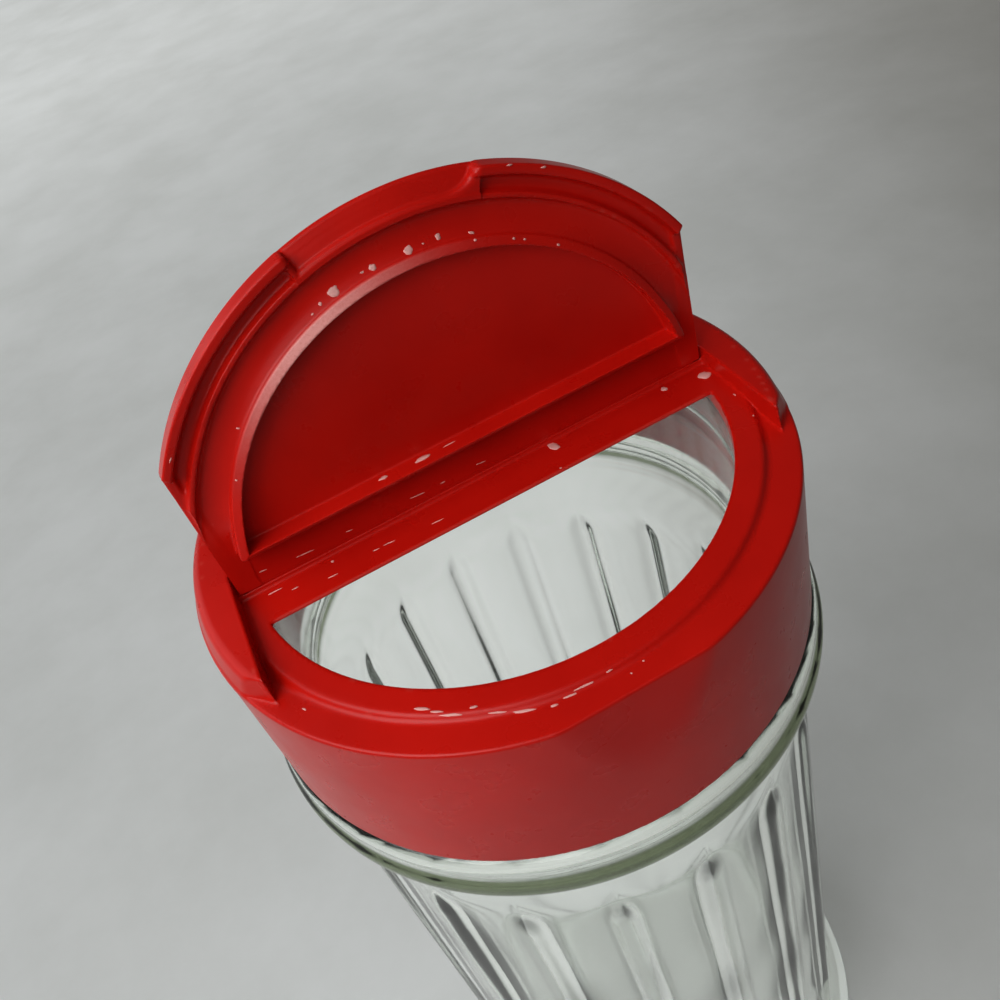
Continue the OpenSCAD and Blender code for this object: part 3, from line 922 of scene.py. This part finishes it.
class SHAKER_OT_living_hinge(bpy.types.Operator):
    """Builds the thin strip that bends between the closure and the flap"""

    bl_idname = "shaker.living_hinge"
    bl_label = "Living Hinge"

    def execute(self, context):
        closure = sizes(context.scene.shaker_closure)
        half = HINGE_HIGH.x / MM
        front, web, middle, reach, end, pinched = 0.06, 0.45, 0.28, 0.6, 0.3, 0.55
        levels = np.linspace(closure.hinge_z - reach, closure.hinge_z + reach, 13)
        section = [(front, z) for z in levels] + [(front + web, z) for z in levels[::-1]]
        stations = np.concatenate([[-half], np.linspace(-half + end, half - end, 60), [half]])
        rings = []
        for x in stations:
            pinch = pinched if abs(x) > half - 0.01 else 1.0
            rings.append([(x, middle + (y - middle) * pinch, closure.deck_z + z) for y, z in section])
        points = np.array(rings).reshape(-1, 3)
        n = len(section)
        faces = []
        for i in range(len(stations) - 1):
            for j in range(n):
                k = (j + 1) % n
                faces.append((i * n + j, i * n + k, (i + 1) * n + k, (i + 1) * n + j))
        faces.append(tuple(range(n))[::-1])
        faces.append(tuple(range((len(stations) - 1) * n, len(stations) * n)))
        hinge = add_piece("living_hinge_visual", points, faces, finish_of(moulded_red))
        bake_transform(hinge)
        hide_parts("living_hinge")
        return {"FINISHED"}


# Pale flakes, partly residue and partly painted highlight where drops of water glint
FLAP_SEED, CLOSURE_SEED = 11, 12

# Flakes on the flap: X, Y and level in the shut flap's frame, half length and half width, all in
# millimetres, and heading in degrees
FLAP_MARKS = (
    # In the valley outside the plug rib
    (-9.0, -25.0, 0.8, 0.15, 0.10, -20), (-8.0, -25.5, 0.9, 0.20, 0.18, -15),
    (-6.5, -26.0, 0.9, 0.65, 0.50, -20), (-3.5, -26.5, 0.9, 0.20, 0.12, 0),
    (-2.5, -26.5, 0.9, 0.40, 0.35, -30), (1.0, -26.5, 0.9, 0.50, 0.40, -20),
    (2.5, -26.5, 0.9, 0.12, 0.10, 20), (4.0, -26.5, 0.9, 0.30, 0.35, 0),
    (7.0, -25.5, 0.8, 0.15, 0.35, 120),
    # On the plug rib's arc and its straight side
    (7.0, -25.0, 0.2, 0.15, 0.14, 25), (10.5, -23.5, 0.2, 0.15, 0.14, 25),
    (11.5, -23.0, 0.1, 0.15, 0.10, 25), (14.5, -21.0, 0.1, 0.20, 0.12, 45),
    (-19.5, -18.0, 0.8, 0.10, 0.20, 110), (-22.0, -13.5, 0.2, 0.10, 0.15, 110),
    (-9.5, -5.7, 0.6, 0.55, 0.25, 0), (-5.0, -5.7, 0.5, 1.00, 0.30, 0),
    (-2.0, -5.7, 0.6, 0.80, 0.08, 0),
    # On the plate beside the hinge
    (-24.5, -1.5, 1.4, 0.50, 0.07, 5), (-20.0, -1.0, 1.4, 1.10, 0.07, 5),
    (-15.0, -1.0, 1.4, 0.45, 0.07, 5), (-7.0, -1.0, 1.4, 0.80, 0.08, 5),
    (-4.0, -1.0, 1.4, 0.30, 0.10, 5), (0.5, -1.0, 1.4, 0.65, 0.07, 5),
    # On the rim
    (12.0, -30.0, 0.2, 0.10, 0.28, 100), (15.0, -28.5, 0.2, 0.10, 0.28, 100),
    (-26.0, -18.5, 0.2, 0.30, 0.07, -45),
)

# Flakes on the closure, in the same way, with levels from its front deck
CLOSURE_MARKS = (
    # On the land behind the opening
    (8.5, -1.0, 0.6, 0.80, 0.60, -70), (22.5, -1.0, 0.6, 0.40, 0.35, -45),
    (27.0, -2.0, 0.6, 0.80, 0.65, -10), (-24.5, -1.0, 0.6, 0.85, 0.08, 0),
    (-22.5, -2.0, 0.6, 0.40, 0.08, -5), (-18.5, -3.0, 0.6, 0.65, 0.08, -5),
    (-18.0, -1.0, 0.6, 0.20, 0.16, 0), (-13.5, -2.5, 0.6, 0.40, 0.08, -5),
    (-12.0, -2.5, 0.6, 0.75, 0.08, -5), (-6.5, -3.0, 0.6, 0.75, 0.08, -5),
    (7.5, -4.5, 0.6, 0.15, 0.10, -25),
    # On the land at the right
    (27.5, -7.0, 0.6, 0.25, 0.10, -85), (27.0, -11.0, 0.6, 0.12, 0.10, -35),
    # Along the land's front edge, and on the front deck
    (-16.5, -23.5, 0.6, 0.75, 0.18, -35), (-15.5, -24.5, 0.6, 0.60, 0.12, -35),
    (-14.5, -25.5, 0.5, 1.05, 0.15, -30), (-12.5, -26.0, 0.6, 0.35, 0.13, -20),
    (-11.0, -27.5, 0.3, 0.85, 0.10, -30), (-9.0, -28.5, 0.1, 1.10, 0.15, -25),
    (-6.5, -29.5, 0.0, 0.40, 0.13, -10), (-5.0, -29.5, 0.2, 0.80, 0.10, -10),
    (-3.5, -29.5, 0.3, 1.10, 0.09, -5), (-1.0, -29.5, 0.4, 0.35, 0.09, 0),
    (-26.0, -16.5, 0.0, 0.30, 0.10, -60), (0.5, -30.5, 0.0, 0.12, 0.09, -35),
    (2.0, -30.0, 0.0, 0.12, 0.09, -35),
)


def laid_on(field, points):
    """Points moved onto the surface where the field is zero, and the way that it faces there."""
    points = settle(field, points, 8, 0.3)
    return points, unit(gradient(field, points))


def speck_shapes(field, marks, seed):
    """Points and faces of thin ragged flakes that lie on a surface, one for each mark."""
    draw = np.random.default_rng(seed)
    around, thickest, least, uneven, blur = 16, 0.08, 0.7, 0.5, 0.6
    # Share of the outline and of the thickness at each ring, from the edge to the top
    layers = ((1.0, -0.25), (0.9, 0.5), (0.5, 0.9))
    turn = np.arange(around) * (2 * math.pi / around)
    points, faces = [], []
    for x, y, z, long, wide, heading in marks:
        middle, facing = laid_on(field, np.array([[x, y, z]]))
        way = long * np.array([math.cos(math.radians(heading)), math.sin(math.radians(heading)), 0.0])
        along = way - facing[0] * (way @ facing[0])
        across = np.cross(facing[0], along / np.linalg.norm(along)) * wide
        ragged = least + uneven * draw.random(around)
        ragged = (ragged + blur * np.roll(ragged, 1)) / (1.0 + blur)
        edge = ragged[:, None] * (np.cos(turn)[:, None] * along + np.sin(turn)[:, None] * across)
        thick = min(thickest, 0.35 * wide)
        base = len(points)
        for share, lift in layers:
            ring, outward = laid_on(field, middle + share * edge)
            points.extend(ring + lift * thick * outward)
        points.extend([middle[0] + thick * facing[0], middle[0] - 0.5 * thick * facing[0]])
        for i in range(around):
            k = (i + 1) % around
            for low, high in ((0, around), (around, 2 * around)):
                faces.append((base + low + i, base + low + k, base + high + k, base + high + i))
            faces.append((base + 2 * around + i, base + 2 * around + k, base + 3 * around))
            faces.append((base + k, base + i, base + 3 * around + 1))
    return np.array(points), faces


class SHAKER_OT_dried_specks(bpy.types.Operator):
    """Builds the pale flakes on the flap and the closure, partly residue and partly painted highlight
    standing in for glints on drops of water
    """

    bl_idname = "shaker.dried_specks"
    # The flakes are partly residue and partly painted highlight
    bl_label = "Dried Specks"

    def execute(self, context):
        flap = sizes(context.scene.shaker_flap)
        closure = sizes(context.scene.shaker_closure)
        finish = finish_of(dried_sugar)
        points, faces = speck_shapes(flap_field(flap, closure.hinge_z), FLAP_MARKS, FLAP_SEED)
        specks = add_piece("specks_on_flap", opened(points, flap, closure), faces, finish)
        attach(specks, "flap")
        points, faces = speck_shapes(closure_field(closure), CLOSURE_MARKS, CLOSURE_SEED)
        specks = add_piece("specks_on_closure", points + [0.0, 0.0, closure.deck_z], faces, finish)
        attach(specks, "closure")
        return {"FINISHED"}


# Lamps: name, turn and rise in degrees, distance and size in metres, power in watts, tint
LAMPS = (
    ("back_window", 138, 28, 1.8, 1.5, 7.0, (0.94, 0.98, 1.0)),
    ("front_panel", 225, 50, 1.5, 2.4, 5.2, (1.0, 0.99, 0.97)),
    ("left_box", 198, 45, 0.24, 0.18, 0.32, (0.98, 0.99, 1.0)),
    ("front_box", 228, 42, 0.28, 0.20, 0.175, (1.0, 0.99, 0.97)),
)
LAMP_AIM = Vector((0.0, 0.0, 0.15))
TABLE_HALF = 2600.0
ROOM_COLOUR = (0.95, 0.93, 0.90, 1.0)
ROOM_LIGHT, ROOM_SEEN = 0.08, 0.34


def hang_lamps(scene):
    """Soft square lamps round the jar, out of the camera's sight."""
    for name, turn, rise, away, size, power, tint in LAMPS:
        lamp = bpy.data.lights.new(name, "AREA")
        lamp.shape, lamp.size, lamp.energy, lamp.color = "SQUARE", size, power, tint
        holder = bpy.data.objects.new(name, lamp)
        a, e = math.radians(turn), math.radians(rise)
        towards = Vector((math.cos(a) * math.cos(e), math.sin(a) * math.cos(e), math.sin(e)))
        holder.location = LAMP_AIM + away * towards
        holder.rotation_mode = "QUATERNION"
        holder.rotation_quaternion = towards.to_track_quat("Z", "Y")
        holder.visible_camera = False
        scene.collection.objects.link(holder)


def paint_room(scene):
    """Dim room light, with a paler room for what the camera sees straight or through glass."""
    world = bpy.data.worlds.new("room")
    world.use_nodes = True
    tree = world.node_tree
    sky = tree.nodes["Background"]
    seen = seen_rays(tree, ("Is Transmission Ray",))
    dress(tree, sky, {"Color": ROOM_COLOUR, "Strength": spread(tree, seen, ROOM_LIGHT, ROOM_SEEN)})
    scene.world = world


def set_camera(scene, s, target):
    """Camera at the photograph's viewing angle, with its target in millimetres."""
    back = Vector((
        math.sin(s.azimuth) * math.cos(s.elevation),
        -math.cos(s.azimuth) * math.cos(s.elevation),
        math.sin(s.elevation),
    ))
    right = Vector((0, 0, 1)).cross(back).normalized()
    up = back.cross(right)
    c, n = math.cos(s.roll), math.sin(s.roll)
    right, up = c * right + n * up, -n * right + c * up
    eye = target + s.distance * back
    lens = bpy.data.cameras.new("photo_camera")
    lens.sensor_fit, lens.sensor_width, lens.lens = "HORIZONTAL", 36.0, s.lens
    lens.clip_start, lens.clip_end = 0.001, 50.0
    camera = bpy.data.objects.new("photo_camera", lens)
    camera.matrix_world = Matrix((
        (right.x, up.x, back.x, eye.x * MM),
        (right.y, up.y, back.y, eye.y * MM),
        (right.z, up.z, back.z, eye.z * MM),
        (0, 0, 0, 1),
    ))
    scene.collection.objects.link(camera)
    scene.camera = camera


class SHAKER_OT_stage(bpy.types.Operator):
    """Builds the table top, the lamps and the camera"""

    bl_idname = "shaker.stage"
    bl_label = "Stage"

    def execute(self, context):
        scene = context.scene
        scene.view_settings.view_transform = "Standard"
        corners = [(x * TABLE_HALF, y * TABLE_HALF, 0) for x, y in ((-1, -1), (1, -1), (1, 1), (-1, 1))]
        table = add_piece("table_top", corners, [(0, 1, 2, 3)], finish_of(table_top))
        paint_room(scene)
        hang_lamps(scene)
        s = sizes(scene.shaker_stage)
        set_camera(scene, s, Vector((s.target_x, s.target_y, sizes(scene.shaker_closure).deck_z)))
        return {"FINISHED"}


class SHAKER_PT_sidebar(bpy.types.Panel):
    """Lists the shaker's pieces and settings"""

    bl_idname = "SHAKER_PT_sidebar"
    bl_label = "Sugar Shaker"
    bl_space_type = "VIEW_3D"
    bl_region_type = "UI"
    bl_category = "Shaker"

    def draw(self, context):
        for operator in OPERATORS:
            self.layout.operator(operator.bl_idname)
        for name in GROUPS:
            box = self.layout.box()
            group = getattr(context.scene, name)
            for prop in group.bl_rna.properties.keys():
                if prop not in {"rna_type", "name"}:
                    box.prop(group, prop)


GROUPS = {
    "shaker_jar": ShakerJarSettings,
    "shaker_closure": ShakerClosureSettings,
    "shaker_flap": ShakerFlapSettings,
    "shaker_finish": ShakerFinishSettings,
    "shaker_stage": ShakerStageSettings,
}
OPERATORS = (
    SHAKER_OT_glass_jar,
    SHAKER_OT_closure_body,
    SHAKER_OT_pour_flap,
    SHAKER_OT_living_hinge,
    SHAKER_OT_dried_specks,
    SHAKER_OT_stage,
)


def register():
    """Adds the settings, the operators and the sidebar."""
    for name, group in GROUPS.items():
        bpy.utils.register_class(group)
        setattr(bpy.types.Scene, name, bpy.props.PointerProperty(type=group))
    for cls in (*OPERATORS, SHAKER_PT_sidebar):
        bpy.utils.register_class(cls)


def unregister():
    """Takes the sidebar, the operators and the settings away again."""
    for cls in (SHAKER_PT_sidebar, *reversed(OPERATORS)):
        bpy.utils.unregister_class(cls)
    for name, group in reversed(GROUPS.items()):
        delattr(bpy.types.Scene, name)
        bpy.utils.unregister_class(group)


def main():
    """Builds every piece and the stage."""
    register()
    bpy.ops.shaker.glass_jar()
    bpy.ops.shaker.closure_body()
    bpy.ops.shaker.pour_flap()
    bpy.ops.shaker.living_hinge()
    bpy.ops.shaker.dried_specks()
    bpy.ops.shaker.stage()
    bpy.context.view_layer.update()


if __name__ == "__main__":
    main()
